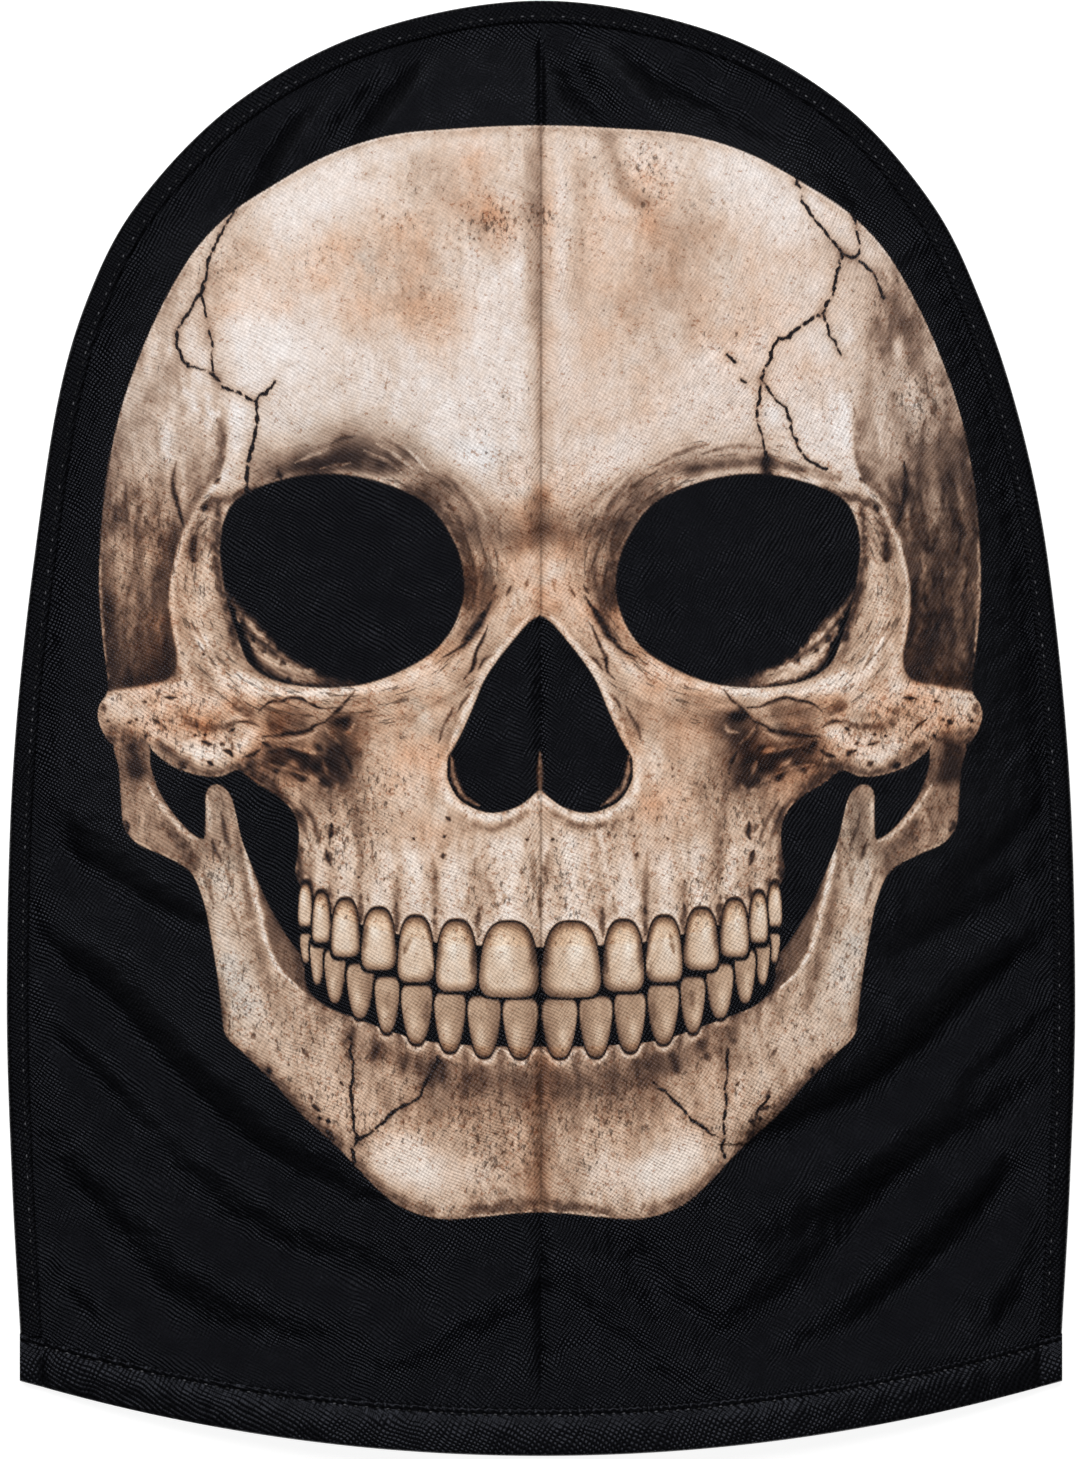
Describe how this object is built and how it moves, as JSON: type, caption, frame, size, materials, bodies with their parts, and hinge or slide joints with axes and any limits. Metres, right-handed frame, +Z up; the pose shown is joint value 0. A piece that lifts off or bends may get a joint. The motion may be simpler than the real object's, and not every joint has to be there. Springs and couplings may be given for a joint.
{
  "type": "cloth hood mask",
  "caption": "Soft cloth hood mask lying flat, front up: two printed skull front halves sewn at a middle seam, plain back, bound rim and turned hem round the open mouth.",
  "frame": {"origin": "on the surface that the mask lies on, under the middle of its outline", "axes": "+Z up through the printed front, +Y from the open mouth to the crown, +X to the right as the front is seen"},
  "size_m": [0.27, 0.367, 0.025],
  "materials": {
    "printed_cloth": "matte knit polyester, black with a bone-coloured skull print",
    "plain_cloth": "matte black knit polyester",
    "binding_tape": "matte black woven tape with a stitched edge"
  },
  "bodies": {
    "root": {"front_left": "printed_cloth", "front_right": "printed_cloth", "back_panel": "plain_cloth", "rim_binding": "binding_tape", "hem_front": "plain_cloth", "hem_back": "plain_cloth"}
  },
  "joints": []
}
